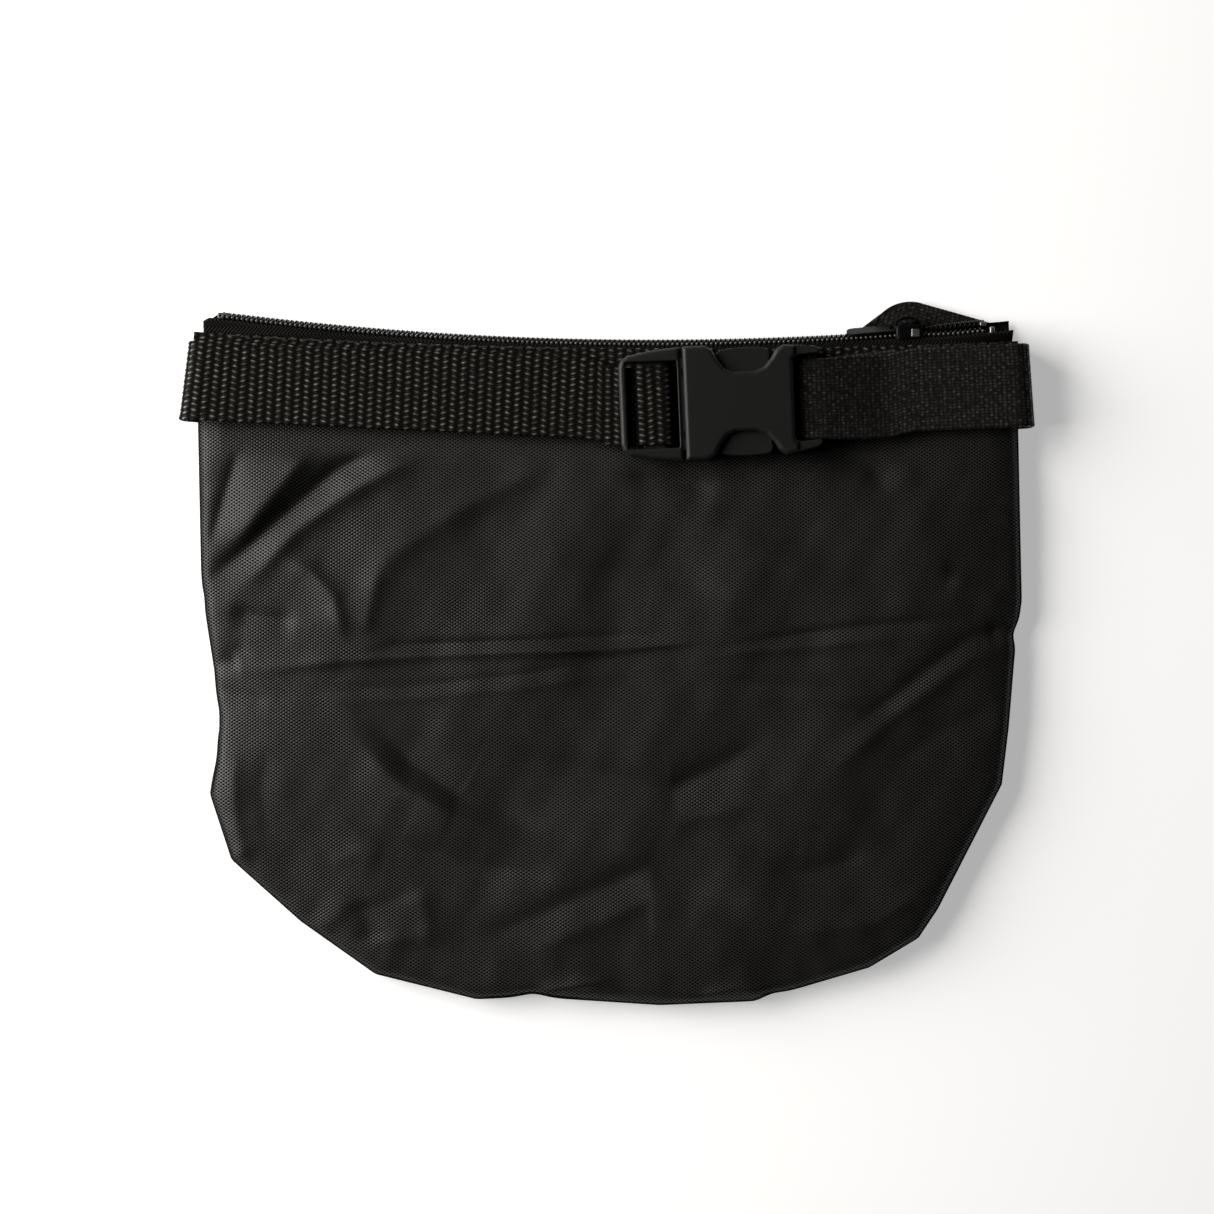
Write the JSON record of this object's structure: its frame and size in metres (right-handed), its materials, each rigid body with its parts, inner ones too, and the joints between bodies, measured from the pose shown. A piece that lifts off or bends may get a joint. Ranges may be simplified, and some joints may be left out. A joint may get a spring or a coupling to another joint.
{
  "type": "waist pack",
  "caption": "Flat fabric waist pouch with a curved top zip and a webbing belt closed across the front by a side-release buckle.",
  "frame": {"origin": "on the resting plane under the middle of the pouch, the pack lying on its back", "axes": "+X to the right along the belt, +Y towards the zip, +Z out of the front panel"},
  "size_m": [0.2601, 0.2152, 0.0227],
  "materials": {
    "coated_fabric": "plain-woven black nylon with a soft sheen",
    "binding_tape": "thin black woven binding",
    "webbing": "coarse woven black webbing",
    "zip_tape": "fine herringbone tape",
    "zip_coil": "moulded nylon coil",
    "stop_metal": "small pressed clips",
    "slider_paint": "glossy black enamel",
    "buckle_plastic": "finely textured moulded plastic",
    "thread": "black sewing thread"
  },
  "bodies": {
    "pouch": {"front_panel": "coated_fabric", "back_panel": "coated_fabric", "seam_binding": "binding_tape", "front_webbing_strip": "webbing", "belt_back_run": "webbing", "strap_right": "webbing", "front_zip_tape": "zip_tape", "back_zip_tape": "zip_tape", "front_zip_coil": "zip_coil", "back_zip_coil": "zip_coil", "zip_bottom_stop": "stop_metal", "zip_top_stops": "stop_metal", "buckle_female": "buckle_plastic", "strip_stitching": "thread", "belt_back_stitching": "thread"},
    "zip_slider": {"slider_body": "slider_paint", "slider_bridge": "slider_paint"},
    "zip_pull": {"pull_tab": "slider_paint"},
    "buckle_release": {"buckle_male": "buckle_plastic", "strap_left": "webbing"},
    "upper_prong": {"prong_upper": "buckle_plastic"},
    "lower_prong": {"prong_lower": "buckle_plastic"}
  },
  "joints": [
    {"name": "zip_slide", "type": "hinge", "parent": "pouch", "child": "zip_slider", "pos_m": [0.013, 1.12635, 0.0073], "axis": [0, 0, 1], "range_deg": [-11, 0.9], "deforming": ["front_zip_tape", "back_zip_tape", "front_zip_coil", "back_zip_coil"]},
    {"name": "pull_tab_swing", "type": "hinge", "parent": "zip_slider", "child": "zip_pull", "pos_m": [0.09213, 0.10285, 0.0073], "axis": [0, 0, -1], "range_deg": [0, 170]},
    {"name": "buckle_slide", "type": "slide", "parent": "pouch", "child": "buckle_release", "axis": [-0.9991, -0.0419, 0], "range_m": [0, 0.032], "deforming": ["prong_upper", "prong_lower"]},
    {"name": "upper_prong_squeeze", "type": "hinge", "parent": "buckle_release", "child": "upper_prong", "pos_m": [0.02308, 0.08687, 0.01745], "axis": [0, 0, -1], "range_deg": [0, 12]},
    {"name": "lower_prong_squeeze", "type": "hinge", "parent": "buckle_release", "child": "lower_prong", "pos_m": [0.02388, 0.06788, 0.01745], "axis": [0, 0, 1], "range_deg": [0, 12]}
  ],
  "couplings": [
    {"joint": "lower_prong_squeeze", "follows": "upper_prong_squeeze", "ratio": 1}
  ]
}
